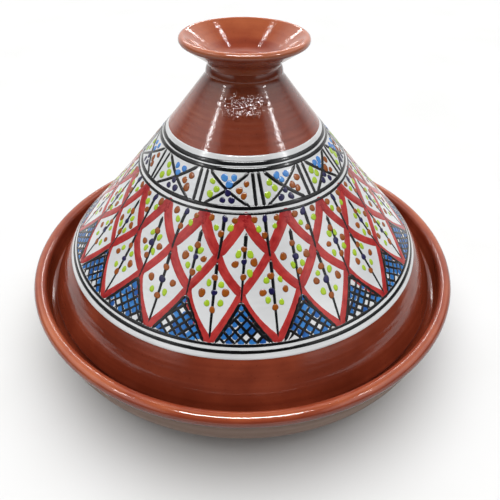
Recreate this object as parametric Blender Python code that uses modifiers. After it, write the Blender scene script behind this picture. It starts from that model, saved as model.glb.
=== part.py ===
"""Tagine pot: a thrown terracotta dish with a rolled rim and an inner gallery, and a tall cone lid
that stands in the gallery. A small flared cup is luted on the cone's neck as the lid's knob.

Frame: metres, +Z up, origin under the middle of the dish on the surface that it stands on.
Each piece is a turned shape: half of its section, drawn in the XZ plane, swept round Z.
A section is listed as (radius, height) points, and its outer side always runs downwards.
"""

import math

import bmesh
import bpy

# Clearance between pieces that touch on the real pot.
TOUCH_GAP = 0.0003

# Dish: a shallow bowl with a flat base.
DISH_RADIUS = 0.150
DISH_HEIGHT = 0.058
RIM_THICKNESS = 0.0085
RIM_OVERHANG = 0.0047
WALL_UPRIGHT = 0.0085
WALL_THICKNESS = 0.009
TURN_RADIUS = 0.024
UNDERSIDE_SLOPE = 35.0
FLOOR_THICKNESS = 0.009
FLOOR_CORNER_RADIUS = 0.022
BASE_EDGE_RADIUS = 0.002

# Gallery: the ledge inside the rim that the lid stands on.
SEAT_DEPTH = 0.0158
SEAT_WIDTH = 0.0115
SEAT_LIP_RADIUS = 0.0022
LID_SLACK = 0.0045

# Lid cone: a slightly hollow-sided cone above a steeper flange with a beaded edge.
LID_HEIGHT = 0.147
LID_WALL = 0.007
EDGE_BEAD = 0.0074
FLANGE_RISE = 0.031
FLANGE_RUN = 0.0160
FLANGE_BULGE = 0.0011
SIDE_HOLLOW = 0.0018
NECK_RADIUS = 0.0225
NECK_FILLET_DROP = 0.0045
NECK_FILLET_RUN = 0.0018
CROWN_THICKNESS = 0.016

# Knob: an open flared cup, which is the handle of the lid. Its foot stands in from the neck's edge.
NECK_STEP = 0.0013
KNOB_RADIUS = 0.0375
KNOB_WALL = 0.0044
KNOB_FLARE_SLOPE = 34.0
KNOB_WAIST_RADIUS = 0.007
KNOB_FOOT = 0.0004
CUP_DEPTH = 0.0135
CUP_CORNER_RADIUS = 0.010

# How finely the pieces are turned.
TURNS = 64

# Sizes that follow from those above.
LID_RADIUS = DISH_RADIUS - RIM_THICKNESS - LID_SLACK
SEAT_HEIGHT = DISH_HEIGHT - SEAT_DEPTH
LID_BASE = SEAT_HEIGHT + TOUCH_GAP
LID_TOP = LID_BASE + LID_HEIGHT
KNOB_BASE = LID_TOP + TOUCH_GAP
KNOB_FOOT_RADIUS = NECK_RADIUS - NECK_STEP

# Colours are linear, as the shader takes them.
TERRACOTTA_GLAZE = (0.34, 0.085, 0.042, 1.0)
WHITE_GLAZE = (0.72, 0.72, 0.70, 1.0)


def arc(centre, radius, start, end, steps):
    """Points on a circle in the section plane, from one angle to another in degrees, ends included."""
    angles = [math.radians(start + (end - start) * step / steps) for step in range(steps + 1)]
    return [(centre[0] + radius * math.cos(a), centre[1] + radius * math.sin(a)) for a in angles]


def bowed(start, end, sag, steps):
    """Points from start to end on a shallow curve that bows to the left of the way by sag at its middle."""
    run = end[0] - start[0]
    rise = end[1] - start[1]
    length = math.hypot(run, rise)
    points = []
    for step in range(steps + 1):
        share = step / steps
        offset = 4.0 * sag * share * (1.0 - share)
        radius = start[0] + run * share - offset * rise / length
        height = start[1] + rise * share + offset * run / length
        points.append((radius, height))
    return points


def inset(points, thickness):
    """The same run of points moved square to itself, to the right of the way, by a wall's thickness."""
    moved = []
    for index, (radius, height) in enumerate(points):
        before = points[max(index - 1, 0)]
        after = points[min(index + 1, len(points) - 1)]
        run = after[0] - before[0]
        rise = after[1] - before[1]
        length = math.hypot(run, rise)
        moved.append((radius + thickness * rise / length, height - thickness * run / length))
    return moved


def glaze(name, colour, roughness):
    """A plain Principled material for a fired and glazed clay."""
    material = bpy.data.materials.new(name)
    material.use_nodes = True
    shader = material.node_tree.nodes["Principled BSDF"]
    shader.inputs["Base Color"].default_value = colour
    shader.inputs["Roughness"].default_value = roughness
    shader.inputs["Metallic"].default_value = 0.0
    material.diffuse_color = colour
    return material


def turned(name, section, material, collection, parent):
    """One named object: a section in the XZ plane with a Screw modifier that sweeps it round Z."""
    mesh = bpy.data.meshes.new(name)
    outline = bmesh.new()
    points = [outline.verts.new((radius, 0.0, height)) for radius, height in section]
    for start, end in zip(points, points[1:]):
        outline.edges.new((start, end))
    outline.to_mesh(mesh)
    outline.free()
    mesh.materials.append(material)

    piece = bpy.data.objects.new(name, mesh)
    collection.objects.link(piece)
    piece.parent = parent
    piece.matrix_parent_inverse.identity()

    sweep = piece.modifiers.new("turn", "SCREW")
    sweep.axis = "Z"
    sweep.angle = math.tau
    sweep.steps = TURNS
    sweep.render_steps = TURNS
    sweep.use_merge_vertices = True
    sweep.merge_threshold = 0.00001
    sweep.use_smooth_shade = True
    return piece


def corner_on_slope(floor, radius, slope, on_slope, steps):
    """An inside corner: an arc that leaves a level floor and meets a straight side at its slope.

    on_slope is any point of the side, and slope is its angle above level, in degrees.
    """
    end_radius = radius * math.sin(math.radians(slope))
    end_height = floor + radius * (1.0 - math.cos(math.radians(slope)))
    meeting = on_slope[0] - (on_slope[1] - end_height) / math.tan(math.radians(slope))
    centre = (meeting - end_radius, floor + radius)
    return arc(centre, radius, -90.0, slope - 90.0, steps)


def dish_section():
    """Half the dish, from the middle of its floor, up the inside, over the rim and down the outside."""
    rim_radius = RIM_THICKNESS / 2.0
    rim_centre = (DISH_RADIUS - rim_radius, DISH_HEIGHT - rim_radius)
    seat_outer = DISH_RADIUS - RIM_THICKNESS
    seat_inner = seat_outer - SEAT_WIDTH
    wall_radius = DISH_RADIUS - RIM_OVERHANG
    wall_top = rim_centre[1] - rim_radius
    slope = math.radians(UNDERSIDE_SLOPE)

    # The outside drops upright, turns under on one arc, then slopes to the flat base.
    turn_centre = (wall_radius - TURN_RADIUS, wall_top - WALL_UPRIGHT)
    turn = arc(turn_centre, TURN_RADIUS, 0.0, UNDERSIDE_SLOPE - 90.0, 5)
    base_radius = turn[-1][0] - (turn[-1][1] - BASE_EDGE_RADIUS) / math.tan(slope)
    base_edge = [(base_radius, BASE_EDGE_RADIUS), (base_radius - BASE_EDGE_RADIUS, 0.0)]

    # The inside runs beside that slope, one wall further in, until it stands upright under the ledge.
    inside_run = turn[-1][0] - WALL_THICKNESS * math.sin(slope)
    inside_slope = (inside_run, turn[-1][1] + WALL_THICKNESS * math.cos(slope))
    corner = corner_on_slope(FLOOR_THICKNESS, FLOOR_CORNER_RADIUS, UNDERSIDE_SLOPE, inside_slope, 4)
    upright_foot = (seat_inner, inside_slope[1] + (seat_inner - inside_slope[0]) * math.tan(slope))
    lip_centre = (seat_inner + SEAT_LIP_RADIUS, SEAT_HEIGHT - SEAT_LIP_RADIUS)
    lip = arc(lip_centre, SEAT_LIP_RADIUS, 180.0, 90.0, 3)

    inside = [(0.0, FLOOR_THICKNESS)] + corner + [upright_foot] + lip + [(seat_outer, SEAT_HEIGHT)]
    rim = arc(rim_centre, rim_radius, 180.0, -60.0, 8)
    outside = [(wall_radius, wall_top)] + turn + base_edge + [(0.0, 0.0)]
    return inside + rim + outside


def cone_section():
    """Half the lid's cone, from the middle of its neck, down the outside and back up the inside."""
    bead_radius = EDGE_BEAD / 2.0
    bead_centre = (LID_RADIUS - bead_radius, LID_BASE + bead_radius)
    shoulder = (LID_RADIUS - FLANGE_RUN, LID_BASE + FLANGE_RISE)
    neck = (NECK_RADIUS, LID_TOP)
    side_start = (NECK_RADIUS + NECK_FILLET_RUN, LID_TOP - NECK_FILLET_DROP)
    edge = arc(bead_centre, bead_radius, 30.0, -180.0, 7)

    side = bowed(side_start, shoulder, -SIDE_HOLLOW, 6)
    flange = bowed(shoulder, edge[0], FLANGE_BULGE, 3)
    outer = side + flange[1:-1]

    # The inside keeps one wall's thickness and closes under the crown.
    crown = LID_TOP - CROWN_THICKNESS
    inner = [point for point in inset(outer, LID_WALL) if edge[-1][1] < point[1] < crown]
    inner.reverse()
    crown_edge = (inner[-1][0] / 2.0, crown)
    return [(0.0, LID_TOP), neck] + outer + edge + inner + [crown_edge, (0.0, crown)]


def knob_section():
    """Half the knob, from the middle of its cup, up the inside, over the lip and down the outside."""
    slope = math.radians(KNOB_FLARE_SLOPE)
    lip_radius = KNOB_WALL / 2.0
    lip_start = 90.0 + KNOB_FLARE_SLOPE
    lip_end = KNOB_FLARE_SLOPE - 90.0

    # The outside stands upright on a short foot, and a hollow waist leads it out to the flare.
    waist_centre = (KNOB_FOOT_RADIUS + KNOB_WAIST_RADIUS, KNOB_BASE + KNOB_FOOT)
    waist = arc(waist_centre, KNOB_WAIST_RADIUS, lip_start, 180.0, 4)

    # The flare runs straight from the waist to the rounded lip, which sets the knob's height.
    lip_under = KNOB_RADIUS - lip_radius + lip_radius * math.sin(slope)
    flare_rise = (lip_under - waist[0][0]) * math.tan(slope)
    lip_centre = (KNOB_RADIUS - lip_radius, waist[0][1] + flare_rise + lip_radius * math.cos(slope))
    lip = arc(lip_centre, lip_radius, lip_start, lip_end, 6)

    # The cup's side runs beside the flare, down to a level floor.
    cup_floor = lip_centre[1] + lip_radius - CUP_DEPTH
    cup = corner_on_slope(cup_floor, CUP_CORNER_RADIUS, KNOB_FLARE_SLOPE, lip[0], 4)
    return [(0.0, cup_floor)] + cup + lip + waist + [(KNOB_FOOT_RADIUS, KNOB_BASE), (0.0, KNOB_BASE)]


def main():
    for old in list(bpy.data.objects):
        bpy.data.objects.remove(old, do_unlink=True)

    pot = bpy.data.collections.new("tagine_pot")
    bpy.context.scene.collection.children.link(pot)

    # The empties hold what moves together: the dish stays put, and the lid lifts off along +Z.
    dish_body = bpy.data.objects.new("dish_body", None)
    lid_body = bpy.data.objects.new("lid_body", None)
    pot.objects.link(dish_body)
    pot.objects.link(lid_body)

    brown = glaze("terracotta_glaze", TERRACOTTA_GLAZE, 0.2)
    white = glaze("white_glaze", WHITE_GLAZE, 0.2)
    turned("dish", dish_section(), brown, pot, dish_body)
    turned("lid_cone", cone_section(), white, pot, lid_body)
    turned("lid_knob", knob_section(), brown, pot, lid_body)


main()
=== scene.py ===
# %% [markdown]
# # A painted earthenware tagine
#
# The pot is two loose pieces of fired clay: a shallow dish with a rolled rim, and a tall cone lid
# with a small cup on top to lift it by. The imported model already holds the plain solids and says
# how the lid moves. This lesson makes what the eye sees: thrown clay with its turning rings, two
# glazes, and a pattern painted by hand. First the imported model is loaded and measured, because
# every size below is taken from it.

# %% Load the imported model
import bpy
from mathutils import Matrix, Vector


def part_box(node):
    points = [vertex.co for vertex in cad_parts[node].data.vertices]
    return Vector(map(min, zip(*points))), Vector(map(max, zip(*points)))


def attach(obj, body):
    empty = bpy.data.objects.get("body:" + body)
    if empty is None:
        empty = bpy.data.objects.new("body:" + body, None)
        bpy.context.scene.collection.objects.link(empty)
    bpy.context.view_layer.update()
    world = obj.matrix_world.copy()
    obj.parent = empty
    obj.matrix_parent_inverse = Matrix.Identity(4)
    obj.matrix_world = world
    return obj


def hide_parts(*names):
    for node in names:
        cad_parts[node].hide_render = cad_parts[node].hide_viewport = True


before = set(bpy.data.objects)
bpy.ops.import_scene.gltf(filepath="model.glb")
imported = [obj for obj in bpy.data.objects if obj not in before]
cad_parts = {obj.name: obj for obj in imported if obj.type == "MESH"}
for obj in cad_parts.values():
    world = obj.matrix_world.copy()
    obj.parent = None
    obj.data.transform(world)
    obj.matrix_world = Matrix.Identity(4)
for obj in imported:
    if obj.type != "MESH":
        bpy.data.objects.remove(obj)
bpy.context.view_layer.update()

import math
import random
from functools import partial

import bpy
import numpy as np
from mathutils import Matrix, Vector

dish_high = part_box("dish")[1]
lid_low, lid_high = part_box("lid_cone")
knob_low, knob_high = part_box("lid_knob")
print("dish", tuple(dish_high), "lid", tuple(lid_high), "knob", tuple(knob_high))

# %% [markdown]
# ## The stage
#
# A pot like this is shown on white paper in a tent of white cloth. Most of the light falls through
# the tent's roof, which leaves a dark, soft shadow under the pot. The cloth gives wide, soft
# reflections down both sides of the glaze, and a few small lamps give the narrow bright ones.

# %% Small helpers for colours and nodes
MM = 0.001


def linear(hex_colour):
    """An sRGB colour such as 'c8402c', as the linear red, green, blue and alpha that shaders take."""
    channels = [int(hex_colour[i:i + 2], 16) / 255.0 for i in (0, 2, 4)]
    curve = [c / 12.92 if c <= 0.04045 else ((c + 0.055) / 1.055) ** 2.4 for c in channels]
    return (*curve, 1.0)


def plug(node, inputs):
    """Fills a node's inputs, each from a plain value, a socket, or a node, which gives its first output."""
    for name, value in inputs.items():
        if isinstance(value, bpy.types.Node):
            value = next(socket for socket in value.outputs if socket.enabled)
        if isinstance(value, bpy.types.NodeSocket):
            node.id_data.links.new(value, node.inputs[name])
        else:
            node.inputs[name].default_value = value


def add_node(tree, kind, inputs=None, stops=(), **settings):
    """Adds a node. Settings are its properties, and stops are a ramp's (position, hex colour)."""
    node = tree.nodes.new("ShaderNode" + kind)
    for name, value in settings.items():
        setattr(node, name, value)
    for _ in stops[2:]:
        node.color_ramp.elements.new(0.5)
    for index, (position, colour) in enumerate(stops):
        node.color_ramp.elements[index].position = position
        node.color_ramp.elements[index].color = linear(colour)
    plug(node, inputs or {})
    return node


def new_material(name):
    """A node material, add_node for its tree, its Principled shader, and the place on the piece."""
    material = bpy.data.materials.new(name)
    material.use_nodes = True
    add = partial(add_node, material.node_tree)
    return material, add, material.node_tree.nodes["Principled BSDF"], add("TexCoord").outputs["Object"]


# %% Floor
FLOOR_SIZE = 8.0
# The paper is lit more than the pot is: the eye sees it near white, and little of it bounces back up.
FLOOR_SEEN = 0.82
FLOOR_BOUNCE = 0.30


def pale_floor():
    material, add, shader, place = new_material("matt_white_paper")
    tree = material.node_tree
    tree.nodes.remove(shader)
    grain = add("TexNoise", {"Vector": place, "Scale": 9.0, "Detail": 3.0})
    colour = add("ValToRGB", {"Fac": grain}, [(0.3, "f6f6f5"), (0.7, "fafafa")])
    bounced = add("LightPath").outputs["Is Diffuse Ray"]
    share = add("MapRange", {"Value": bounced, "To Min": FLOOR_SEEN, "To Max": FLOOR_BOUNCE})
    scaled = add("VectorMath", {0: colour, "Scale": share}, operation="SCALE")
    paper = add("BsdfDiffuse", {"Color": scaled})
    plug(tree.nodes["Material Output"], {"Surface": paper})
    return material


bpy.ops.object.select_all(action="DESELECT")
bpy.ops.mesh.primitive_plane_add(size=FLOOR_SIZE, location=(0.0, 0.0, 0.0))
floor = bpy.context.object
floor.name = "stage_floor"
floor.data.materials.append(pale_floor())

# %% Lamps
POT_MIDDLE = Vector((0.0, 0.0, 0.09))


def lamp(name, size, power, placing):
    """A lamp that shines down its own -Z. The glaze mirrors it, but it lights no surface."""
    data = bpy.data.lights.new(name, "AREA")
    data.shape = "RECTANGLE"
    data.size, data.size_y = size
    data.energy = power
    holder = bpy.data.objects.new(name, data)
    holder.matrix_world = placing
    holder.visible_diffuse = False
    bpy.context.scene.collection.objects.link(holder)


def panel(name, azimuth, elevation, distance, size, power):
    """A lamp that faces the pot. Azimuth 0 is in front, and 90 is to the right."""
    turn = math.radians(azimuth)
    lift = math.radians(elevation)
    way = Vector((math.sin(turn) * math.cos(lift), -math.cos(turn) * math.cos(lift), math.sin(lift)))
    facing = (-way).to_track_quat("-Z", "Y").to_matrix().to_4x4()
    lamp(name, size, power, Matrix.Translation(POT_MIDDLE + way * distance) @ facing)


def lamp_line(name, start, end, width, power):
    """A thin strip of lamps from one place to another, facing the pot."""
    start, end = Vector(start), Vector(end)
    middle = 0.5 * (start + end)
    along = (end - start).normalized()
    out = middle - POT_MIDDLE
    out = (out - along * out.dot(along)).normalized()
    facing = Matrix((along, out.cross(along), out)).transposed().to_4x4()
    lamp(name, ((end - start).length, width), power, Matrix.Translation(middle) @ facing)


# The bar in front is mirrored in the wrinkled glaze under the knob, the strips are the two streaks on
# the cone, the roof lamps the two in the cup, and the lamp behind is the line along the lip.
panel("lamp_bar_front", 0.0, 70.0, 0.75, (0.50, 0.10), 9.0)
for side_name, sign in (("left", -1.0), ("right", 1.0)):
    panel("lamp_strip_" + side_name, sign * 64.0, 45.0, 0.62, (0.02, 0.08), 0.24)
    lamp_line("lamp_roof_" + side_name, (sign * 0.19, 0.19, 0.70), (sign * 0.20, 0.20, 0.70), 0.012, 0.06)
lamp_line("lamp_back", (-0.33, 0.80, 0.62), (0.33, 0.80, 0.62), 0.02, 1.6)

# %% The tent of cloth
# Strengths of the cloth at the sides, the cloth behind, and the dark room seen through the opening.
TENT_LIGHT = 1.7
BACK_LIGHT = 0.65
ROOM_LIGHT = 0.07
# How far sideways, back and up a direction points where the cloth begins and where it is full.
SIDE_CLOTH = (0.42, 0.62)
BACK_CLOTH = (0.25, 0.7)
HIGH_CLOTH = (0.14, 0.62)
# The roof's strength, that of all the rest, its middle, and how near that it begins and is full.
ROOF_LIGHT = 3.1
LOW_LIGHT = 0.22
ROOF_MIDDLE = (0.0, 0.14, 0.99)
ROOF_SPREAD = (0.6, 0.95)
# What the eye sees behind the floor's far edge.
FLOOR_LINE_LIGHT = 1.05


def white_tent():
    """The cloth is bright on both sides, dimmer behind, and dark in front, where the tent is open."""
    world = bpy.data.worlds.new("white_tent")
    world.use_nodes = True
    add = partial(add_node, world.node_tree)
    way = add("TexCoord").outputs["Generated"]
    parts = add("SeparateXYZ", {"Vector": way})
    sideways = add("Math", {0: parts.outputs["X"]}, operation="ABSOLUTE")
    overhead = add("VectorMath", {0: way, 1: ROOF_MIDDLE}, operation="DOT_PRODUCT")
    faded = []
    for value, (start, end), low, full in (
            (sideways, SIDE_CLOTH, 0.0, 1.0), (parts.outputs["Y"], BACK_CLOTH, 0.0, BACK_LIGHT),
            (parts.outputs["Z"], HIGH_CLOTH, 0.0, 1.0),
            (overhead.outputs["Value"], ROOF_SPREAD, LOW_LIGHT, ROOF_LIGHT)):
        ends = {"Value": value, "From Min": start, "From Max": end, "To Min": low, "To Max": full}
        faded.append(add("MapRange", ends, interpolation_type="SMOOTHSTEP"))
    side, back, high, roof = faded
    walls = add("Math", {0: side, 1: high}, operation="MULTIPLY")
    cloth = add("Math", {0: walls, 1: back}, operation="MAXIMUM")
    glow = add("MapRange", {"Value": cloth, "To Min": ROOM_LIGHT, "To Max": TENT_LIGHT})
    # The glaze mirrors the cloth, but most of the light that falls on the pot comes through the roof.
    ray = add("LightPath").outputs
    falling = add("Mix", {"Factor": ray["Is Glossy Ray"], "A": roof, "B": glow})
    strength = add("Mix", {"Factor": ray["Is Camera Ray"], "A": falling, "B": FLOOR_LINE_LIGHT})
    plug(world.node_tree.nodes["Background"], {"Strength": strength, "Color": linear("fdfdfd")})
    return world


bpy.context.scene.world = white_tent()
bpy.context.scene.view_settings.view_transform = "Standard"

# %% [markdown]
# ## The camera
#
# It stands close in front of the pot, a little higher than the knob, and looks down about forty
# degrees. Being close makes the rim look much rounder than the knob's lip. It is rolled by less
# than a degree, as a camera held by hand is.

# %% Camera
CAMERA_PLACE = (0.0, -0.2932, 0.2892)
CAMERA_PITCH = 39.02
CAMERA_YAW = -0.93
CAMERA_ROLL = 0.80
CAMERA_LENS = 35.7

camera_data = bpy.data.cameras.new("camera")
camera_data.lens = CAMERA_LENS
camera_data.sensor_width = 36.0
camera_data.dof.use_dof = False
camera = bpy.data.objects.new("camera", camera_data)
# A camera looks down -Z, and 90 degrees about X brings it level. It is rolled, pitched, then turned.
aims = ((CAMERA_YAW, "Z"), (90.0 - CAMERA_PITCH, "X"), (CAMERA_ROLL, "Z"))
yaw, pitch, roll = (Matrix.Rotation(math.radians(angle), 4, axis) for angle, axis in aims)
camera.matrix_world = Matrix.Translation(CAMERA_PLACE) @ yaw @ pitch @ roll
bpy.context.scene.collection.objects.link(camera)
bpy.context.scene.camera = camera

# %% [markdown]
# ## Throwing
#
# A potter's wheel turns a section into a round piece. Blender's Spin tool does the same: a single
# point is extruded along half of the section and the line is spun once round Z. The potter's
# fingers leave shallow rings, so the line that is spun already has a ripple a few hundredths of a
# millimetre high. A flat cylinder with bump alone would look moulded.

# %% Lines and arcs in the section plane
def arc(centre, radius, start, end, steps):
    """Points on a circle from one angle to another, in degrees, ends included."""
    turns = np.radians(np.linspace(start, end, steps + 1))
    return [(centre[0] + radius * math.cos(t), centre[1] + radius * math.sin(t)) for t in turns]


def bowed(start, end, sag, steps):
    """Points from start to end on a shallow curve that bows to the left of the way by sag."""
    start, end = np.array(start), np.array(end)
    way = end - start
    left = np.array((-way[1], way[0])) / np.linalg.norm(way)
    shares = np.linspace(0.0, 1.0, steps + 1)
    return [tuple(start + way * s + left * 4.0 * sag * s * (1.0 - s)) for s in shares]


def corner_on_slope(floor_height, radius, slope, on_slope, steps):
    """An arc that leaves a level floor and runs into a side. on_slope is any point of that side."""
    rise = math.radians(slope)
    end_height = floor_height + radius * (1.0 - math.cos(rise))
    meeting = on_slope[0] - (on_slope[1] - end_height) / math.tan(rise)
    centre = (meeting - radius * math.sin(rise), floor_height + radius)
    return arc(centre, radius, -90.0, slope - 90.0, steps)


def run_along(points):
    """The distance from the line's start to each of its points."""
    return np.concatenate([[0.0], np.cumsum(np.linalg.norm(np.diff(points, axis=0), axis=1))])


def evenly(points, spacing):
    """The same line with points set evenly along it."""
    points = np.array(points)
    lengths = run_along(points)
    count = max(2, round(lengths[-1] / spacing) + 1)
    at = np.linspace(0.0, lengths[-1], count)
    return np.stack([np.interp(at, lengths, points[:, 0]), np.interp(at, lengths, points[:, 1])], axis=1)


def softened(points, reach):
    """Rounds the corners of an even line by averaging over this many neighbours on each side."""
    points = np.array(points)
    soft = points.copy()
    for index in range(1, len(points) - 1):
        span = min(reach, index, len(points) - 1 - index)
        soft[index] = points[index - span:index + span + 1].mean(axis=0)
    return soft


def side_normals(points):
    """The unit normals on the outer side of a line that runs down the outside of a piece."""
    way = np.gradient(np.array(points), axis=0)
    normals = np.stack([-way[:, 1], way[:, 0]], axis=1)
    return normals / np.linalg.norm(normals, axis=1)[:, None]


def throwing_rings(points, depth, spacing, seed):
    """Adds the shallow rings that fingers leave, with a spacing that drifts as the hand rises."""
    points = np.array(points)
    run = run_along(points)
    drift = 0.9 * np.sin(run / (3.1 * spacing) + seed) + 0.5 * np.sin(run / (1.7 * spacing) + 2.0 * seed)
    ripple = np.sin(math.tau * run / spacing + drift)
    ripple += 0.5 * np.sin(math.tau * run / (0.37 * spacing) + seed)
    fade = np.minimum(1.0, np.minimum(run, run[-1] - run) / (2.0 * spacing))
    return points + side_normals(points) * (depth * ripple * fade)[:, None]


# %% The wheel: extrude a point along the section and spin it
def thrown(name, section, turns=192, thin_and_lit_spots=()):
    """A turned piece: one point is extruded along the section, and the line is spun round Z.

    Each spot is a (radius, height, reach): a ridge from which the glaze ran off, or a place given
    painted light. The lightening attribute is 1 on it and fades to 0 at its reach. On faces that
    point down it is taken away, which is painted shade under overhangs.
    """
    section = [Vector((radius, 0.0, height)) for radius, height in section]
    bpy.ops.object.select_all(action="DESELECT")
    bpy.ops.mesh.primitive_plane_add(size=0.1 * MM, location=section[0])
    piece = bpy.context.object
    piece.name = piece.data.name = name
    bpy.ops.object.mode_set(mode="EDIT")
    bpy.ops.mesh.select_all(action="SELECT")
    bpy.ops.mesh.merge(type="CENTER")
    for here, there in zip(section, section[1:]):
        bpy.ops.mesh.extrude_region_move(TRANSFORM_OT_translate={"value": there - here})
    bpy.ops.mesh.select_all(action="SELECT")
    bpy.ops.mesh.spin(steps=turns, angle=math.tau, center=(0.0, 0.0, 0.0), axis=(0.0, 0.0, 1.0))
    bpy.ops.mesh.select_all(action="SELECT")
    bpy.ops.mesh.remove_doubles(threshold=0.005 * MM)
    bpy.ops.mesh.normals_make_consistent(inside=False)
    bpy.ops.object.mode_set(mode="OBJECT")
    bpy.ops.object.transform_apply(location=True, rotation=True, scale=True)
    bpy.ops.object.shade_smooth()
    thin_glaze_and_light = piece.data.attributes.new("thin_glaze_and_light", "FLOAT", "POINT")
    for point, value in zip(piece.data.vertices, thin_glaze_and_light.data):
        radius = math.hypot(point.co.x, point.co.y)
        near = [1.0 - math.hypot(radius - r, point.co.z - z) / reach for r, z, reach in thin_and_lit_spots]
        # Painted shade: faces that point down lose the lightening, so undersides come out darker.
        underside_painted_shade = min(1.0, max(0.0, -2.0 * point.normal.z))
        value.value = max([0.0] + near) * (1.0 - underside_painted_shade)
    print(name, len(piece.data.vertices), "points")
    return piece


# %% [markdown]
# ## The lid's outline
#
# The cone's side is slightly hollow, then it turns steeper at the shoulder and ends in a beaded
# edge that stands in the dish's gallery. The painting lies on this side, so the line is worked out
# once and kept: a place on the lid is then a turn round the axis and a distance down the slope.

# %% Lid outline
TOUCH_GAP = 0.3 * MM
NECK_RADIUS = 22.5 * MM
NECK_FILLET = (1.8 * MM, 4.5 * MM)
SIDE_HOLLOW = 1.8 * MM
FLANGE_RUN = 16.0 * MM
FLANGE_RISE = 31.0 * MM
FLANGE_BULGE = 1.1 * MM
BEAD_RADIUS = 3.7 * MM
LID_WALL = 7.0 * MM
CROWN_THICKNESS = 16.0 * MM
RING_DEPTH = 0.022 * MM
RING_SPACING = 3.6 * MM

lid_radius, lid_base, lid_top = lid_high.x, lid_low.z, lid_high.z
bead_centre = (lid_radius - BEAD_RADIUS, lid_base + BEAD_RADIUS)
bead = arc(bead_centre, BEAD_RADIUS, 30.0, -180.0, 24)
shoulder = (lid_radius - FLANGE_RUN, lid_base + FLANGE_RISE)
side_top = (NECK_RADIUS + NECK_FILLET[0], lid_top - NECK_FILLET[1])
side_line = bowed(side_top, shoulder, -SIDE_HOLLOW, 40) + bowed(shoulder, bead[0], FLANGE_BULGE, 20)[1:]
side_line = softened(evenly(side_line, 0.9 * MM), 8)
side_normal = side_normals(side_line)
side_rippled = throwing_rings(side_line, RING_DEPTH, RING_SPACING, 1.3)
side_run = run_along(side_line)
print("lid side is", round(side_run[-1] / MM, 1), "mm long")


def slope_at(height):
    """How far down the lid's side, from under the neck, a height lies."""
    return float(np.interp(-height, -side_line[:, 1], side_run))


def lid_radius_at(slope):
    """The lid's radius at a distance down its side."""
    return np.interp(slope, side_run, side_rippled[:, 0])


def on_lid(turn, slope, lift):
    """Points on the lid's outside: turn in radians from the front towards +X, slope and lift in metres."""
    turn, slope, lift = np.broadcast_arrays(turn, slope, lift)
    out, up = (np.interp(slope, side_run, side_normal[:, axis]) for axis in (0, 1))
    radius = lid_radius_at(slope) + lift * out
    height = np.interp(slope, side_run, side_rippled[:, 1]) + lift * up
    return np.stack([radius * np.sin(turn), -radius * np.cos(turn), height], axis=-1)


# %% Lid cone
def lid_cone():
    """The cone, from the middle of its neck, down the outside, round the bead and back up the inside."""
    crown = lid_top - CROWN_THICKNESS
    inside = side_line - side_normal * LID_WALL
    inside = inside[(inside[:, 1] < crown) & (inside[:, 1] > lid_base + BEAD_RADIUS)]
    inside = throwing_rings(evenly(inside, 1.8 * MM), 2.0 * RING_DEPTH, 2.5 * RING_SPACING, 0.4)[::-1]
    neck = bowed((NECK_RADIUS, lid_top), tuple(side_rippled[0]), -0.5 * MM, 6)
    top = [(0.0, crown), (inside[-1][0] * 0.5, crown)]
    section = [(0.0, lid_top)] + neck + list(side_rippled[1:]) + bead[1:] + list(inside[1:]) + top[::-1]
    return thrown("lid_cone_clay", section, thin_and_lit_spots=((NECK_RADIUS, lid_top, 3.0 * MM),))


lid = lid_cone()

# %% [markdown]
# ## The knob
#
# The knob is a little flared cup, thrown by itself and stuck to the leather-hard cone with slip.
# The joint is smoothed over with more slip, which leaves a low soft ridge round the neck.

# %% Knob and its slip joint
KNOB_LIP_RADIUS = 2.2 * MM
KNOB_FLARE_SLOPE = 34.0
KNOB_WAIST_RADIUS = 7.0 * MM
NECK_STEP = 1.3 * MM
KNOB_FOOT = 0.4 * MM
CUP_DEPTH = 13.5 * MM
CUP_CORNER_RADIUS = 10.0 * MM


def knob():
    """The cup, from the middle of its floor, over the lip and down the waist to its foot."""
    lip_centre = (knob_high.x - KNOB_LIP_RADIUS, knob_high.z - KNOB_LIP_RADIUS)
    lip = arc(lip_centre, KNOB_LIP_RADIUS, 90.0 + KNOB_FLARE_SLOPE, KNOB_FLARE_SLOPE - 90.0, 20)
    foot_radius = NECK_RADIUS - NECK_STEP
    waist_centre = (foot_radius + KNOB_WAIST_RADIUS, knob_low.z + KNOB_FOOT)
    waist = arc(waist_centre, KNOB_WAIST_RADIUS, 90.0 + KNOB_FLARE_SLOPE, 180.0, 14)
    cup_floor = knob_high.z - CUP_DEPTH
    corner = corner_on_slope(cup_floor, CUP_CORNER_RADIUS, KNOB_FLARE_SLOPE, lip[0], 12)
    cup = evenly([(0.0, cup_floor)] + corner + [lip[0]], 0.9 * MM)
    cup = throwing_rings(softened(cup, 2), 0.7 * RING_DEPTH, RING_SPACING, 2.2)
    flare = throwing_rings(softened(evenly([lip[-1]] + waist, 0.8 * MM), 2), RING_DEPTH, RING_SPACING, 0.7)
    section = list(cup) + lip[1:-1] + list(flare) + [(foot_radius, knob_low.z), (0.0, knob_low.z)]
    lip_ridge = (lip_centre[0] + 0.8 * MM, lip_centre[1] + 1.4 * MM, 3.6 * MM)
    # Painted light: a wide spot makes the whole cup lighter, as if lit from above.
    cup_painted_light = (lip_centre[0], lip_centre[1] + 6.0 * MM, 40.0 * MM)
    return thrown("lid_knob_clay", section, 144, (lip_ridge, cup_painted_light))


def slip_joint():
    """The soft ridge of slip over the joint between the knob and the cone."""
    foot_radius = NECK_RADIUS - NECK_STEP
    top = (foot_radius + 0.30 * MM, lid_top + 2.6 * MM)
    bottom = (NECK_RADIUS + 0.40 * MM, lid_top - 1.6 * MM)
    ridge = bowed(top, bottom, 0.28 * MM, 10)
    inner = foot_radius - 0.5 * MM
    foot = [(inner, bottom[1]), (inner, top[1]), top]
    return thrown("lid_joint_slip", ridge + foot, 144)


cup_knob = knob()
joint = slip_joint()

# %% [markdown]
# ## The dish
#
# The rim is rolled over outwards to a thick round bead, and the ledge inside it carries the lid.
# Under the rim the wall drops a little, then turns under to a flat base.

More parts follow.
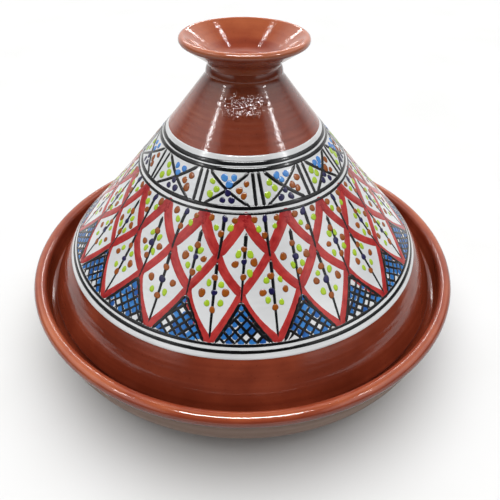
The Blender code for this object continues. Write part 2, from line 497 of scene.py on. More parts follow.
# %% Dish
RIM_THICKNESS = 8.5 * MM
RIM_OVERHANG = 4.7 * MM
WALL_UPRIGHT = 8.5 * MM
WALL_THICKNESS = 9.0 * MM
TURN_RADIUS = 24.0 * MM
UNDERSIDE_SLOPE = 35.0
FLOOR_THICKNESS = 9.0 * MM
FLOOR_CORNER_RADIUS = 22.0 * MM
BASE_EDGE_RADIUS = 2.0 * MM
SEAT_WIDTH = 11.5 * MM
SEAT_LIP_RADIUS = 2.2 * MM
seat_height = lid_base - TOUCH_GAP


def dish_section():
    """The inside line and the outside line of the dish, from the floor's middle to the base's middle."""
    slope = math.radians(UNDERSIDE_SLOPE)
    rim_radius = RIM_THICKNESS / 2.0
    rim_centre = (dish_high.x - rim_radius, dish_high.z - rim_radius)
    seat_outer = dish_high.x - RIM_THICKNESS
    seat_inner = seat_outer - SEAT_WIDTH
    wall_radius = dish_high.x - RIM_OVERHANG
    wall_top = rim_centre[1] - rim_radius
    turn_centre = (wall_radius - TURN_RADIUS, wall_top - WALL_UPRIGHT)
    turn = arc(turn_centre, TURN_RADIUS, 0.0, UNDERSIDE_SLOPE - 90.0, 24)
    base_radius = turn[-1][0] - (turn[-1][1] - BASE_EDGE_RADIUS) / math.tan(slope)
    wall = [(wall_radius, wall_top)] + turn + [(base_radius, BASE_EDGE_RADIUS)]

    inwards = np.array((-math.sin(slope), math.cos(slope)))
    beside = np.array(turn[-1]) + WALL_THICKNESS * inwards
    corner = corner_on_slope(FLOOR_THICKNESS, FLOOR_CORNER_RADIUS, UNDERSIDE_SLOPE, beside, 16)
    upright = (seat_inner, beside[1] + (seat_inner - beside[0]) * math.tan(slope))
    lip_centre = (seat_inner + SEAT_LIP_RADIUS, seat_height - SEAT_LIP_RADIUS)
    lip = arc(lip_centre, SEAT_LIP_RADIUS, 180.0, 90.0, 10)
    bowl = softened(evenly([(0.0, FLOOR_THICKNESS)] + corner + [upright, lip[0]], 1.5 * MM), 3)
    bowl = throwing_rings(bowl, 1.3 * RING_DEPTH, 3.0 * RING_SPACING, 0.9)
    rim = arc(rim_centre, rim_radius, 180.0, -68.0, 40)
    groove = bowed(rim[-1], (wall_radius, wall_top - 0.6 * MM), 0.3 * MM, 5)
    wall = softened(evenly(wall, 1.0 * MM), 2)
    wall = throwing_rings(wall, 2.0 * RING_DEPTH, 1.6 * RING_SPACING, 3.1)
    base = [(base_radius - 0.6 * MM, 0.6 * MM), (base_radius - BASE_EDGE_RADIUS, 0.0), (0.0, 0.0)]
    seat = [(seat_outer - 0.8 * MM, seat_height), (seat_outer, seat_height + 0.8 * MM)]
    inside = list(bowl) + lip[1:] + seat
    outside = list(wall[1:]) + base
    return inside, rim + groove[1:-1], outside


inside_line, rim_line, wall_line = dish_section()
rim_ridge = (dish_high.x - 0.5 * RIM_THICKNESS + 0.8 * MM, dish_high.z - 0.4 * MM, 6.0 * MM)
dish = thrown("dish_clay", inside_line + rim_line + wall_line, thin_and_lit_spots=(rim_ridge,))
print("dish wall starts at", [round(value / MM, 1) for value in wall_line[0]])

# %% [markdown]
# ## Glazed terracotta
#
# Terracotta is a red, iron-bearing clay. A clear lead-free glaze over it turns it a deep orange
# brown and gives it a wet shine. Where the glaze is thin, on the ridges, the clay shows lighter;
# where it pools it is darker. Iron specks and the turning rings show through it. The colour also
# holds painted light, lighter in the knob's cup and towards the top, and painted shade under overhangs.

# %% Terracotta glaze
# The deep stops are glaze that pooled; the light ones are clay seen through a thin coat, and painted light.
GLAZE_COLOURS = [(0.34, "6c2a18"), (0.5, "7e3420"), (0.64, "924129"), (0.9, "b5613a")]
# Iron specks lie a few millimetres apart, each with a dark middle under half a millimetre wide.
SPECK_SPACING = 3.125 * MM
# A rib left rings a millimetre apart, each some 7 mm long, plain on the upper cone and faint elsewhere.
RIB_SCALE = (140.0, 140.0, 1050.0)
RIB_DEPTH = 0.06 * MM
COMBED_MIDDLE = 171.0 * MM
# Under the knob the glaze ran, gathered in front and wrinkled.
GLAZE_RUN = (-1.0 * MM, -31.0 * MM, 178.0 * MM)
WRINKLE_DEPTH = 1.2 * MM


def rib_and_wrinkle_bumps(add, place, height):
    """The rib's rings, then the faint peel of the glaze and the wrinkles of its run."""
    comb = add("Mapping", {"Vector": place, "Scale": RIB_SCALE})
    rings = add("TexNoise", {"Vector": comb, "Scale": 1.0, "Detail": 2.0})
    off = add("Math", {0: height, 1: COMBED_MIDDLE}, operation="SUBTRACT")
    off = add("Math", {0: off}, operation="ABSOLUTE")
    combed = add("MapRange", {"Value": off, "From Min": 15.0 * MM, "From Max": 18.0 * MM,
                              "To Min": 1.0, "To Max": 0.08})
    ring_height = add("Math", {0: rings, 1: combed}, operation="MULTIPLY")
    ribbed = add("Bump", {"Strength": 1.0, "Distance": RIB_DEPTH, "Height": ring_height})
    from_run = add("VectorMath", {0: place, 1: GLAZE_RUN}, operation="SUBTRACT")
    flatter = add("VectorMath", {0: from_run, 1: (0.8, 0.8, 1.6)}, operation="MULTIPLY")
    away = add("VectorMath", {0: flatter}, operation="LENGTH").outputs["Value"]
    fray = add("TexNoise", {"Vector": place, "Scale": 170.0, "Detail": 2.0})
    frayed = add("Math", {0: fray, 1: 14.0 * MM, 2: away}, operation="MULTIPLY_ADD")
    run = add("MapRange", {"Value": frayed, "From Min": 13.0 * MM, "From Max": 18.0 * MM,
                           "To Min": 1.0, "To Max": 0.0}, interpolation_type="SMOOTHSTEP")
    creases = add("TexNoise", {"Vector": place, "Scale": 600.0, "Detail": 1.0})
    peel = add("TexNoise", {"Vector": place, "Scale": 700.0, "Detail": 2.0})
    faint = add("Math", {0: peel, 1: 0.04}, operation="MULTIPLY")
    wrinkle = add("Math", {0: creases, 1: run, 2: faint}, operation="MULTIPLY_ADD")
    return add("Bump", {"Strength": 1.0, "Distance": WRINKLE_DEPTH, "Height": wrinkle, "Normal": ribbed})


def terracotta_glaze():
    material, add, shader, place = new_material("terracotta_clear_glaze")
    height = add("SeparateXYZ", {"Vector": place}).outputs["Z"]
    # Bands that run round the pot, from the turning: long in the plane, about 4 mm apart in height.
    stretch = add("Mapping", {"Vector": place, "Scale": (5.0, 5.0, 260.0)})
    bands = add("TexNoise", {"Vector": stretch, "Scale": 1.0, "Detail": 3.0, "Roughness": 0.5})
    clouds = add("TexNoise", {"Vector": place, "Scale": 26.0, "Detail": 5.0, "Roughness": 0.55})
    share = add("Mix", {"Factor": 0.35, "A": clouds, "B": bands})
    # The share is about a half on the open surface; it nears 1 on thin glaze and on painted light in the
    # cup.
    thin_glaze_and_light = add("Attribute", attribute_name="thin_glaze_and_light").outputs["Fac"]
    depth = add("Math", {0: thin_glaze_and_light, 1: 0.26, 2: share}, operation="MULTIPLY_ADD")
    # Painted light: the glaze colour is made lighter towards the top of the lid, where more light falls.
    painted_top_light = add("MapRange", {"Value": height, "From Min": 0.09, "From Max": 0.17, "To Max": 0.13})
    depth = add("Math", {0: depth, 1: painted_top_light})
    colour = add("ValToRGB", {"Fac": depth}, GLAZE_COLOURS)
    specks = add("TexVoronoi", {"Vector": place, "Scale": 1.0 / SPECK_SPACING})
    spots = add("ValToRGB", {"Fac": specks}, [(0.06, "4a2018"), (0.13, "ffffff")])
    mix = {"Factor": 0.35, "A": colour, "B": spots}
    speckled = add("Mix", mix, data_type="RGBA", blend_type="MULTIPLY")
    shine = add("MapRange", {"Value": clouds, "To Min": 0.06, "To Max": 0.14})
    bump = rib_and_wrinkle_bumps(add, place, height)
    plug(shader, {"Base Color": speckled, "Roughness": shine, "IOR": 1.52, "Normal": bump})
    return material


brown_glaze = terracotta_glaze()
for piece in (lid, cup_knob, joint, dish):
    piece.data.materials.append(brown_glaze)

# %% [markdown]
# The outside of the dish is left unglazed. Salts in the clay come to the surface as it dries and
# fire to a pale pinkish bloom, which is matt. Its tones here are set darker than that bloom, as
# painted shade for the wall under the rim.

# %% Pale fired clay
def bare_clay_in_painted_shade():
    material, add, shader, place = new_material("unglazed_clay_painted_shade")
    stretch = add("Mapping", {"Vector": place, "Scale": (9.0, 9.0, 190.0)})
    bands = add("TexNoise", {"Vector": stretch, "Scale": 1.0, "Detail": 3.0})
    # Painted shade: these tones are darker than the pale bloom, for the wall in shade under the rim.
    colour = add("ValToRGB", {"Fac": bands}, [(0.3, "94796c"), (0.52, "a3897b"), (0.7, "b29a8c")])
    # Fine grit stands out of the bare clay, about a millimetre apart.
    grit = add("TexNoise", {"Vector": place, "Scale": 900.0, "Detail": 3.0})
    bump = add("Bump", {"Strength": 0.4, "Distance": 0.1 * MM, "Height": grit})
    plug(shader, {"Base Color": colour, "Roughness": 0.7, "Normal": bump})
    return material


# The bare clay starts under the rim: a face belongs to whichever of the two lines it is nearer to.
dish.data.materials.append(bare_clay_in_painted_shade())
glazed_line = evenly(inside_line + rim_line, 0.8 * MM)
bare_line = evenly([rim_line[-1]] + wall_line, 0.8 * MM)
for face in dish.data.polygons:
    here = np.array((math.hypot(face.center.x, face.center.y), face.center.z))
    to_glazed = np.linalg.norm(glazed_line - here, axis=1).min()
    to_bare = np.linalg.norm(bare_line - here, axis=1).min()
    face.material_index = int(to_bare < to_glazed)

# %% [markdown]
# ## The white ground
#
# Before it is painted, a wide zone of the cone is coated with white glaze. It is a skin about a
# tenth of a millimetre thick, rounded off at its two edges. The skin is one more turned piece: a
# thin section that follows the side of the cone, and whose underside is sunk into the clay.

# %% White ground
GROUND_TOP = 157.0 * MM
GROUND_BOTTOM = 72.6 * MM
GROUND_LIFT = 0.16 * MM
GROUND_SETTLE = 0.05 * MM
TILT = -math.tan(math.radians(0.25))


def hand_tilt(turn, slope):
    """The bands were drawn with the lid not quite level, so on the right they lie a little higher."""
    return slope + TILT * lid_radius_at(slope) * np.sin(turn)


def white_ground():
    """The skin of white glaze, spun level and then tilted by hand."""
    first, last = slope_at(GROUND_TOP), slope_at(GROUND_BOTTOM)
    slopes = np.linspace(first, last, 130)
    edge = np.minimum(slopes - first, last - slopes)
    lift = GROUND_LIFT * np.sqrt(np.clip(edge / (0.8 * MM), 0.0, 1.0)) - GROUND_SETTLE
    line = on_lid(np.full(len(slopes), 0.5 * math.pi), slopes, lift)
    under = on_lid(0.5 * math.pi, slopes[::-1], -0.25 * MM)
    section = [(x, z) for x, y, z in (*line, *under)]
    skin = thrown("lid_white_ground", section + section[:1])
    for point in skin.data.vertices:
        turn = math.atan2(point.co.x, -point.co.y)
        slope = slope_at(point.co.z)
        point.co += Vector(on_lid(turn, hand_tilt(turn, slope), 0.0) - on_lid(turn, slope, 0.0))
    return skin


ground = white_ground()

# %% [markdown]
# Tin oxide makes a clear glaze white and opaque. It shines, with a faint peel, and it is a little
# bluer and greyer where it is thin.

# %% White tin glaze
def white_glaze():
    material, add, shader, place = new_material("white_tin_glaze")
    clouds = add("TexNoise", {"Vector": place, "Scale": 40.0, "Detail": 4.0})
    colour = add("ValToRGB", {"Fac": clouds}, [(0.35, "dadbdc"), (0.6, "e5e6e7")])
    peel = add("TexNoise", {"Vector": place, "Scale": 300.0, "Detail": 2.0})
    bump = add("Bump", {"Strength": 0.12, "Distance": 0.1 * MM, "Height": peel})
    plug(shader, {"Base Color": colour, "Roughness": 0.16, "IOR": 1.55, "Normal": bump})
    return material


ground.data.materials.append(white_glaze())

# %% [markdown]
# ## Paint laid by brush
#
# Every mark is a stroke or a dab of colour that stands slightly proud of the glaze. No modelling
# tool lays a strip along a curved line on a cone with a width that swells and thins, so the brush
# is a function: it takes a line on the lid and a width at each point, and lays a crowned strip
# along it. Each colour's marks are gathered in one mesh. A number called load is kept at each
# point: 1 where the brush was full, 0 where it ran dry. The colours read it.

# %% The brush
PROFILE = ((-1.08, 0.0), (-0.9, 0.6), (-0.35, 1.0), (0.35, 1.0), (0.9, 0.6), (1.08, 0.0))
SINK = 0.06 * MM
BLUNT_END = 0.15


class Paint:
    """All the marks of one colour, gathered until they are made into one object."""

    def __init__(self, name, lift):
        self.name = name
        self.lift = lift
        self.faces = []
        self.marks = []
        self.count = 0

    def add(self, faces, *mark):
        """Takes a mark's faces, then its points, their loads and their places along the stroke."""
        self.faces.extend([self.count + corner for corner in face] for face in faces)
        self.marks.append(mark)
        self.count += len(mark[0])

    def make(self, material):
        """Makes the object, with closed marks whose faces point outwards."""
        points, loads, uvs = (np.concatenate(parts) for parts in zip(*self.marks))
        mesh = bpy.data.meshes.new(self.name)
        mesh.from_pydata(points.tolist(), [], self.faces)
        mesh.attributes.new("load", "FLOAT", "POINT").data.foreach_set("value", loads.astype(np.float32))
        layer = mesh.uv_layers.new(name="along")
        corners = np.empty(len(mesh.loops), np.int32)
        mesh.loops.foreach_get("vertex_index", corners)
        layer.data.foreach_set("uv", uvs[corners].astype(np.float32).ravel())
        mesh.materials.append(material)
        mesh.polygons.foreach_set("use_smooth", np.ones(len(mesh.polygons), bool))
        mesh.validate()
        piece = bpy.data.objects.new(self.name, mesh)
        bpy.context.scene.collection.objects.link(piece)
        bpy.ops.object.select_all(action="DESELECT")
        bpy.context.view_layer.objects.active = piece
        bpy.ops.object.mode_set(mode="EDIT")
        bpy.ops.mesh.select_all(action="SELECT")
        bpy.ops.mesh.normals_make_consistent(inside=False)
        bpy.ops.object.mode_set(mode="OBJECT")
        print(self.name, len(mesh.polygons), "faces")
        return piece


def stroke(paint, turns, slopes, widths, loads, closed=False):
    """Lays a crowned strip of paint along a line on the lid. Widths are in metres, across the strip."""
    turns, slopes, widths, loads = (np.asarray(v, float) for v in (turns, slopes, widths, loads))
    slopes = hand_tilt(turns, slopes)
    radius = lid_radius_at(slopes)
    if closed:
        across_turn, across_slope = np.zeros_like(turns), -np.ones_like(turns)
    else:
        east = np.gradient(turns) * radius
        down = np.gradient(slopes)
        size = np.maximum(np.hypot(east, down), 1e-9)
        across_turn, across_slope = down / size, -east / size
    steps = np.concatenate([[0.0], np.cumsum(np.hypot(np.diff(turns) * radius[1:], np.diff(slopes)))])
    blocks = []
    for side, crown in PROFILE:
        sideways = side * widths / 2.0
        lift = GROUND_LIFT - GROUND_SETTLE + (paint.lift * crown if crown > 0.0 else -SINK)
        places = turns + across_turn * sideways / radius, slopes + across_slope * sideways
        blocks.append(on_lid(*places, lift))
    points = np.stack(blocks, axis=1)
    count, rows = points.shape[:2]
    faces = []
    for step in range(count if closed else count - 1):
        here, there = step * rows, ((step + 1) % count) * rows
        for row in range(rows):
            after = (row + 1) % rows
            faces.append((here + row, there + row, there + after, here + after))
    if not closed:
        faces.append(tuple(range(rows)))
        faces.append(tuple(range(count * rows - 1, (count - 1) * rows - 1, -1)))
    uvs = np.stack([np.repeat(steps / MM, rows), np.tile([side for side, _ in PROFILE], count)], axis=1)
    paint.add(faces, points.reshape(-1, 3), np.repeat(loads, rows), uvs)


def rounded_ends(count, length, width):
    """Width shares along a stroke: full in the middle, and rounded off over half a width at each end."""
    along = np.linspace(0.0, length, count)
    head = np.clip(along / (0.5 * width), 0.0, 1.0)
    tail = np.clip((length - along) / (0.5 * width), 0.0, 1.0)
    return np.maximum(BLUNT_END, np.sqrt(1.0 - (1.0 - head) ** 2) * np.sqrt(1.0 - (1.0 - tail) ** 2))


DAB_SIDES = 14
# The dome's rings: the share of its width, the share of its height, and how full the paint is there.
DAB_RINGS = ((0.6, 0.92, 0.6), (0.92, 0.6, 0.9), (1.07, 0.0, 1.0))
DAB_TOP_DEPTH = 0.55


def dab(paint, turn, slope, width, height, lean, load, chance):
    """One touch of the brush: a low dome with an uneven outline, lean radians from upright."""
    slope = hand_tilt(turn, slope)
    radius = lid_radius_at(slope)
    around = np.linspace(0.0, math.tau, DAB_SIDES, endpoint=False)
    uneven = 1.0 + 0.06 * np.sin(2.0 * around + chance.uniform(0, 6.3))
    uneven += 0.05 * np.sin(3.0 * around + chance.uniform(0, 6.3))
    points = [on_lid(turn, slope, GROUND_LIFT + paint.lift)]
    loads = [DAB_TOP_DEPTH * load]
    uvs = [(0.0, 0.0)]
    for share, crown, depth in DAB_RINGS:
        east = share * width / 2.0 * uneven * np.cos(around)
        down = share * height / 2.0 * uneven * np.sin(around)
        turned_east = east * math.cos(lean) - down * math.sin(lean)
        turned_down = east * math.sin(lean) + down * math.cos(lean)
        lift = GROUND_LIFT + paint.lift * crown - (SINK + GROUND_SETTLE if crown == 0.0 else 0.0)
        points.extend(on_lid(turn + turned_east / radius, slope + turned_down, lift))
        loads.extend([load * depth] * DAB_SIDES)
        uvs.extend(zip(east / MM, down / MM))
    faces = []
    for side in range(DAB_SIDES):
        after = (side + 1) % DAB_SIDES
        faces.append((0, 1 + after, 1 + side))
        for ring in (0, 1):
            low, high = 1 + ring * DAB_SIDES, 1 + (ring + 1) * DAB_SIDES
            faces.append((low + side, low + after, high + after, high + side))
    faces.append(tuple(1 + 2 * DAB_SIDES + side for side in range(DAB_SIDES)))
    paint.add(faces, points, loads, uvs)


# %% [markdown]
# ## Colours
#
# The colours are metal oxides and stains in a little clear glaze: iron red, copper green made
# yellow, cobalt blue, manganese black. Brushed thin they let the white through, so each runs from
# a pale tone, where the brush was dry, to a deep one, where it was full.

# %% Brushed colour material
def brushed_colour(name, dry, full, streak):
    """A painted stain: streaks run along the stroke, and its depth follows the load of the brush."""
    material, add, shader, place = new_material(name)
    along = add("UVMap", uv_map="along")
    stretch = add("Mapping", {"Vector": along, "Scale": (0.16, 1.6, 1.0)})
    streaks = add("TexNoise", {"Vector": stretch, "Scale": 1.0, "Detail": 4.0, "Roughness": 0.65})
    pools = add("TexNoise", {"Vector": place, "Scale": 170.0, "Detail": 2.0})
    both = add("Math", {0: streaks, 1: pools}, operation="ADD")
    centred = add("Math", {0: both, 1: -1.0}, operation="ADD")
    load = add("Attribute", attribute_name="load").outputs["Fac"]
    depth = add("Math", {0: centred, 1: 2.0 * streak, 2: load}, operation="MULTIPLY_ADD")
    colour = add("ValToRGB", {"Fac": depth}, [(0.05, dry), (0.95, full)])
    plug(shader, {"Base Color": colour, "Roughness": 0.15, "IOR": 1.4})
    return material


# How thick each colour lies: a stroke is thin, and a dab that the brush let go of is thicker.
red = Paint("painted_red_leaves", 0.09 * MM)
black = Paint("painted_black_lines", 0.13 * MM)
blue = Paint("painted_blue_squares", 0.08 * MM)
sky = Paint("painted_blue_dots", 0.16 * MM)
lime = Paint("painted_lime_dots", 0.15 * MM)
orange = Paint("painted_orange_dots", 0.16 * MM)
navy = Paint("painted_navy_dots", 0.17 * MM)
chance = random.Random(41)

# %% [markdown]
# ## Rings
#
# The painter sets the lid on a turning wheel and holds the brush still. Six black rings frame the
# painting. Each swells and thins a little, and is darkest where the brush was set down.

# %% Rings
RING_LOAD = 0.85


def ring(height, width):
    """A closed stroke round the lid, with a slow sway and a swell that are never the same twice."""
    count = 256
    turns = np.linspace(-math.pi, math.pi, count, endpoint=False)
    phase = chance.uniform(0.0, math.tau)
    sway = 0.12 * MM * np.sin(2.0 * turns + phase) + 0.08 * MM * np.sin(5.0 * turns + 2.0 * phase)
    swell = 1.0 + 0.07 * np.sin(3.0 * turns + phase) + 0.06 * np.sin(11.0 * turns + 2.0 * phase)
    loads = RING_LOAD + 0.12 * np.sin(2.0 * turns + 1.7 * phase)
    stroke(black, turns, slope_at(height) + sway, width * swell, loads, closed=True)


for height, width in ((153.4, 2.6), (150.8, 2.5), (134.7, 2.4), (132.0, 1.6), (78.5, 1.9), (75.9, 2.1)):
    ring(height * MM, width * MM)

# %% [markdown]
# ## The band of crossed panels
#
# Twelve panels go round high on the cone. Pairs of upright strokes divide them, and each holds a
# cross. The four triangles that the cross makes are dotted in four colours.

# %% Panels
PANELS = 12
PANEL_STEP = math.tau / PANELS
PANEL_START = math.radians(7.5)
PANEL_DRIFT = math.radians(8.0)
DRIFT_FROM = math.radians(15.0)
band_top = slope_at(149.6 * MM)
band_bottom = slope_at(135.2 * MM)


def brush_line(paint, start, end, width, load, bow=0.0, points=14, tail=1.0):
    """A stroke from one place to another, each a (turn, slope), with a slight bow sideways."""
    shares = np.linspace(0.0, 1.0, points)
    radius = lid_radius_at(0.5 * (start[1] + end[1]))
    east = (end[0] - start[0]) * radius
    down = end[1] - start[1]
    length = math.hypot(east, down)
    offset = 4.0 * bow * shares * (1.0 - shares)
    turns = start[0] + (end[0] - start[0]) * shares + offset * down / length / radius
    slopes = start[1] + down * shares - offset * east / length
    widths = width * rounded_ends(points, length, width) * (1.0 - (1.0 - tail) * shares)
    stroke(paint, turns, slopes, widths, load * (1.0 - 0.25 * shares))


DAB_LOAD = 0.8


def touch(paint, turn, slope, width, tall=1.1, stray=0.35):
    """A dab near a place, with the small differences of a hand."""
    radius = lid_radius_at(slope)
    turn += chance.gauss(0.0, stray * MM) / radius
    slope += chance.gauss(0.0, stray * MM)
    width *= chance.uniform(0.88, 1.12)
    dab(paint, turn, slope, width, width * tall * chance.uniform(0.9, 1.12),
        chance.gauss(0.0, 0.25), DAB_LOAD * chance.uniform(0.75, 1.1), chance)


def divider(number):
    """Where a panel starts. The painter spaced them by eye, so the spacing drifts round the lid."""
    even = PANEL_START + number * PANEL_STEP
    return even - PANEL_DRIFT * (1.0 - math.cos(even - DRIFT_FROM))


DIVIDER_GAP = math.radians(3.8)
DIVIDER_WIDTH = 2.0 * MM
CROSS_WIDTH = 2.25 * MM
# Each triangle's dots: how far across half the panel and down the band they are, then, in mm, how far
# east and down from there each dot is, and the width of a dot.
PANEL_DOTS = (
    (sky, 0.0, 0.17, (-2.7, 2.7, 0.0), (0.0, -0.2, 3.5), 3.6),
    (navy, 0.0, 0.83, (-2.7, 2.7, 0.0), (0.0, 0.2, -3.6), 3.6),
    (lime, -0.6, 0.5, (-0.6, -1.6, 2.2), (-3.4, 3.4, 0.4), 3.7),
    (orange, 0.6, 0.5, (0.8, 0.2, -2.8), (-3.2, 3.4, 0.2), 3.7),
)

for panel_number in range(PANELS):
    left = divider(panel_number) + 0.5 * DIVIDER_GAP
    right = divider(panel_number + 1) - 0.5 * DIVIDER_GAP
    middle = 0.5 * (left + right)
    half = 0.5 * (right - left)
    for turn in (left, left - DIVIDER_GAP):
        lean = math.radians(chance.gauss(-0.4, 0.5))
        brush_line(black, (turn + lean, band_top - 0.8 * MM), (turn - lean, band_bottom + 0.6 * MM),
                   DIVIDER_WIDTH * chance.uniform(0.85, 1.1), 0.95)
    corners = left + chance.uniform(0.05, 0.2) * half, right - chance.uniform(0.05, 0.2) * half
    for first, second in (corners, corners[::-1]):
        width = CROSS_WIDTH * chance.uniform(0.85, 1.1)
        brush_line(black, (first, band_top - 0.4 * MM), (second, band_bottom + 0.4 * MM), width, 0.97,
                   bow=chance.gauss(0.0, 0.3) * MM, tail=0.85)
    for paint, across, depth, easts, downs, width in PANEL_DOTS:
        slope = band_top + depth * (band_bottom - band_top)
        for east, down in zip(easts, downs):
            turn = middle + across * half + east * MM / lid_radius_at(slope)
            touch(paint, turn, slope + down * MM, width * MM)

# %% [markdown]
# ## The red leaves
#
# Three rows of pointed leaves overlap like scales, each row set half a step round from the last.
# Every leaf is two red strokes that start at its shoulders and meet at its tip. They run steep at
# first and turn in towards the tip, and where four strokes meet the red doubles and darkens.

# %% Leaves
LEAVES = 19
LEAF_STEP = math.tau / LEAVES
LEAF_START = math.radians(0.5)
LEAF_ROWS = [slope_at(height * MM) for height in (132.0, 115.2, 99.3, 79.4)]
LEAF_WIDTHS = (5.3 * MM, 5.0 * MM, 4.6 * MM)
# Each stroke runs on a little past the tip.
OVERRUN = 0.045


def leaf_jitter(level, number):
    """A small constant shift of each meeting point, the same for every stroke that goes there."""
    draw = random.Random(1000 * level + number % LEAVES)
    return math.radians(draw.gauss(0.0, 0.55)), draw.gauss(0.0, 0.6) * MM * (level > 0)


def meeting_point(level, half_steps):
    """The place on a row where strokes meet. Rows alternate, so places go in half steps."""
    number = (half_steps - level % 2) // 2
    turn, slope = leaf_jitter(level, number)
    return LEAF_START + half_steps * LEAF_STEP / 2.0 + turn, LEAF_ROWS[level] + slope


def leaf_side(level, half_steps, way):
    """One red stroke from a leaf's shoulder on a row to the leaf's tip on the row below."""
    start = meeting_point(level, half_steps)
    end = meeting_point(level + 1, half_steps + way)
    points = 30
    shares = np.linspace(0.0, 1.0, points)
    bend = chance.uniform(1.35, 1.6) if way > 0 else chance.uniform(1.02, 1.15)
    turns = start[0] + (end[0] - start[0]) * shares ** bend
    slopes = start[1] + (end[1] - start[1]) * shares
    length = slopes[-1] - slopes[0]
    width = LEAF_WIDTHS[level] * chance.uniform(0.9, 1.1)
    swell = 1.0 + 0.18 * (level == 0) * (1.0 - shares) ** 2
    turns = np.append(turns, end[0] + way * OVERRUN * 0.4 * LEAF_STEP)
    slopes = np.append(slopes, end[1] + OVERRUN * length)
    widths = width * np.append(swell, 0.75) * rounded_ends(points + 1, length, width)
    wander = 0.5 + 0.5 * np.sin(np.linspace(0, 1, points + 1) * math.pi)
    loads = 0.85 - 0.5 * wander * chance.uniform(0.6, 1.0)
    stroke(red, turns, slopes, widths, loads)


for level in range(3):
    for number in range(LEAVES):
        half_steps = 2 * number + level % 2
        for way in (-1, 1):
            leaf_side(level, half_steps, way)
        # Where strokes meet, one short thick one fills the corner.
        turn, slope = meeting_point(level, half_steps)
        above, below, width, points = (3.4, 3.4, 5.2, 10) if level else (1.2, 7.6, 6.2, 12)
        top, foot = (turn, slope - above * MM), (turn, slope + below * MM)
        brush_line(red, top, foot, width * MM, 1.0, points=points)

# %% [markdown]
# ## Veins and dots in the leaves
#
# A black vein runs down the middle of each leaf, thick at the top and fine at the end. Dots are
# set about it: a navy one on the vein, orange ones above, below and beside it, and four lime ones.

# %% Veins and their dots
def vein(start, end, width, tail):
    """A long black stroke with a slight bow, which narrows to a share tail of its width."""
    bow = chance.gauss(0.0, 0.5) * MM
    brush_line(black, start, end, width, 0.95, bow=bow, points=22, tail=tail)


def dots_about(turn, slope, reach, spread):
    """The dots of a whole leaf, about the middle of its vein."""
    radius = lid_radius_at(slope)
    across = spread / radius
    touch(navy, turn, slope, 3.7 * MM)
    touch(orange, turn, slope - 0.62 * reach, 3.7 * MM)
    touch(orange, turn, slope + 0.72 * reach, 3.7 * MM)
    for side in (-1, 1):
        touch(orange, turn + side * across, slope + 0.5 * MM, 3.8 * MM, stray=0.6)
        for rise in (-1, 1):
            if chance.random() < 0.94:
                touch(lime, turn + side * 0.55 * across, slope + rise * 0.42 * reach + 0.5 * MM, 3.1 * MM,
                      tall=1.3, stray=0.6)


for number in range(LEAVES):
    # Half leaves under the band, whose vein goes on into the leaf of the third row below them.
    between = LEAF_START + (2 * number + 1) * LEAF_STEP / 2.0
    ring_place = (between + math.radians(chance.gauss(0.0, 0.6)), LEAF_ROWS[0])
    crossing = meeting_point(1, 2 * number + 1)
    tip = meeting_point(3, 2 * number + 1)
    vein((ring_place[0], ring_place[1] + 0.8 * MM), (crossing[0], crossing[1] + 3.0 * MM), 2.1 * MM, 0.75)
    vein((crossing[0], crossing[1] + 4.0 * MM), (tip[0], tip[1] - 1.6 * MM), 2.1 * MM, 0.6)
    radius = lid_radius_at(LEAF_ROWS[0])
    touch(navy, ring_place[0], ring_place[1] + 3.2 * MM, 3.2 * MM, tall=1.5)
    touch(orange, ring_place[0] - 0.01, ring_place[1] + 12.0 * MM, 3.6 * MM)
    for side in (-1, 1):
        touch(orange, ring_place[0] + side * 6.0 * MM / radius, ring_place[1] + 3.4 * MM, 3.6 * MM)
        touch(lime, ring_place[0] + side * 4.0 * MM / radius, ring_place[1] + 8.2 * MM, 3.2 * MM, tall=1.2)
    span = tip[1] - crossing[1]
    dots_about(0.5 * (crossing[0] + tip[0]), crossing[1] + 0.44 * span, 0.27 * span, 7.0 * MM)

    # Whole leaves of the second row.
    top = meeting_point(0, 2 * number)
    bottom = meeting_point(2, 2 * number)
    vein((top[0], top[1] + 10.5 * MM), (bottom[0], bottom[1] + 5.0 * MM), 2.2 * MM, 0.5)
    span = bottom[1] - top[1]
    dots_about(0.5 * (top[0] + bottom[0]), top[1] + 0.60 * span, 0.27 * span, 5.8 * MM)

# %% [markdown]
# ## The hatched triangles
#
# Between the lowest leaf tips stand triangles outlined in black, cross-hatched into small diamonds.
# Most of the diamonds are filled with a square touch of blue, and the rest stay white.

# %% Hatched triangles
HATCH_SPACING = 6.2 * MM
HATCH_WIDTH = 1.8 * MM
SQUARE_WIDTH = 4.4 * MM
OUTLINE_WIDTH = 2.3 * MM
base_line = slope_at(78.9 * MM)


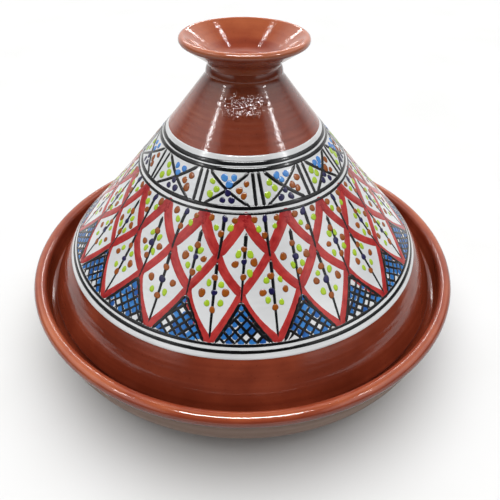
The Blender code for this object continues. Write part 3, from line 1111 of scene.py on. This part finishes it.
def hatched_triangle(number):
    """One triangle's outline, its two sets of lines, and the touches of blue in its diamonds."""
    apex = meeting_point(2, 2 * number)
    apex = (apex[0], apex[1] + 4.0 * MM)
    left_tip, right_tip = meeting_point(3, 2 * number - 1), meeting_point(3, 2 * number + 1)
    drop = base_line - apex[1]
    radius = lid_radius_at(base_line)
    left = (left_tip[0] - apex[0]) * radius + 3.2 * MM
    right = (right_tip[0] - apex[0]) * radius - 3.2 * MM

    def place(east, down):
        """A place in the triangle: metres east of the apex and metres down the slope from it."""
        return apex[0] + east / lid_radius_at(apex[1] + down), apex[1] + down

    def inside(east, down, margin=0.0):
        """Whether a place lies between the two sides and above the base line."""
        return margin < down < drop and left * down / drop + margin < east < right * down / drop - margin

    def crossing(first, second):
        """Where a line that runs down to the right meets one that runs down to the left."""
        return 0.5 * (first + second), 0.5 * drop + 0.5 * (second - first) * slant

    for foot in (left, right):
        bow = chance.gauss(0.0, 0.25) * MM
        brush_line(black, apex, place(foot, drop), OUTLINE_WIDTH, 0.97, bow=bow, tail=0.9)
    slant = chance.uniform(0.85, 1.1)
    shift = chance.uniform(-0.5, 0.5) * HATCH_SPACING
    for way in (-1, 1):
        for index in range(-7, 8):
            offset = shift * way + index * HATCH_SPACING + chance.gauss(0.0, 0.25) * MM
            downs = np.linspace(0.0, drop, 80)
            easts = offset + way * (downs - 0.5 * drop) / slant
            kept = [(east, down) for east, down in zip(easts, downs) if inside(east, down)]
            if len(kept) > 9:
                width = HATCH_WIDTH * chance.uniform(0.85, 1.15)
                bow = chance.gauss(0.0, 0.2) * MM
                ends = place(*kept[0]), place(*kept[-1])
                brush_line(black, *ends, width, 0.95, bow=bow, points=8, tail=0.9)
    # The diamonds' middles lie half way between the lines of each way.
    for first in range(-8, 8):
        for second in range(-8, 8):
            lines = shift + (first + 0.5) * HATCH_SPACING, -shift + (second + 0.5) * HATCH_SPACING
            east, down = crossing(*lines)
            if inside(east, down, 0.6 * MM) and chance.random() < 0.84:
                half = 0.5 * SQUARE_WIDTH * chance.uniform(0.8, 1.1)
                turn, slope = place(east + chance.gauss(0.0, 0.3) * MM, down + chance.gauss(0.0, 0.3) * MM)
                slope = min(slope, base_line - 1.0 * MM)
                lean = chance.gauss(0.0, 0.7) * MM / radius
                brush_line(blue, (turn - lean, slope - half), (turn + lean, slope + half),
                           2.0 * half * chance.uniform(0.85, 1.05), chance.uniform(0.35, 1.0), points=8)


for number in range(LEAVES):
    hatched_triangle(number)

# %% Make the painted pieces
painted = [
    red.make(brushed_colour("brushed_iron_red", "cc4440", "8f141a", 0.5)),
    black.make(brushed_colour("brushed_manganese_black", "2c2c30", "060608", 0.3)),
    blue.make(brushed_colour("brushed_cobalt_blue", "3f8fd6", "15509c", 0.5)),
    sky.make(brushed_colour("dabbed_sky_blue", "5aa2e6", "1c62b8", 0.3)),
    lime.make(brushed_colour("dabbed_lime_green", "bcd83c", "8fb40e", 0.3)),
    orange.make(brushed_colour("dabbed_orange_brown", "ad5c19", "733606", 0.3)),
    navy.make(brushed_colour("dabbed_navy_blue", "26205a", "0c0a2c", 0.3)),
]

# %% [markdown]
# ## Joining the model
#
# Each piece rides on the body it belongs to, so when the lid lifts the knob and the painting go
# with it. The fine pieces stand for the plain solids, which are hidden.

# %% Ride, replace and finish
for piece in (lid, cup_knob, joint, ground, *painted):
    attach(piece, "lid")
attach(dish, "dish")
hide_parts("dish")
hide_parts("lid_cone")
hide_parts("lid_knob")
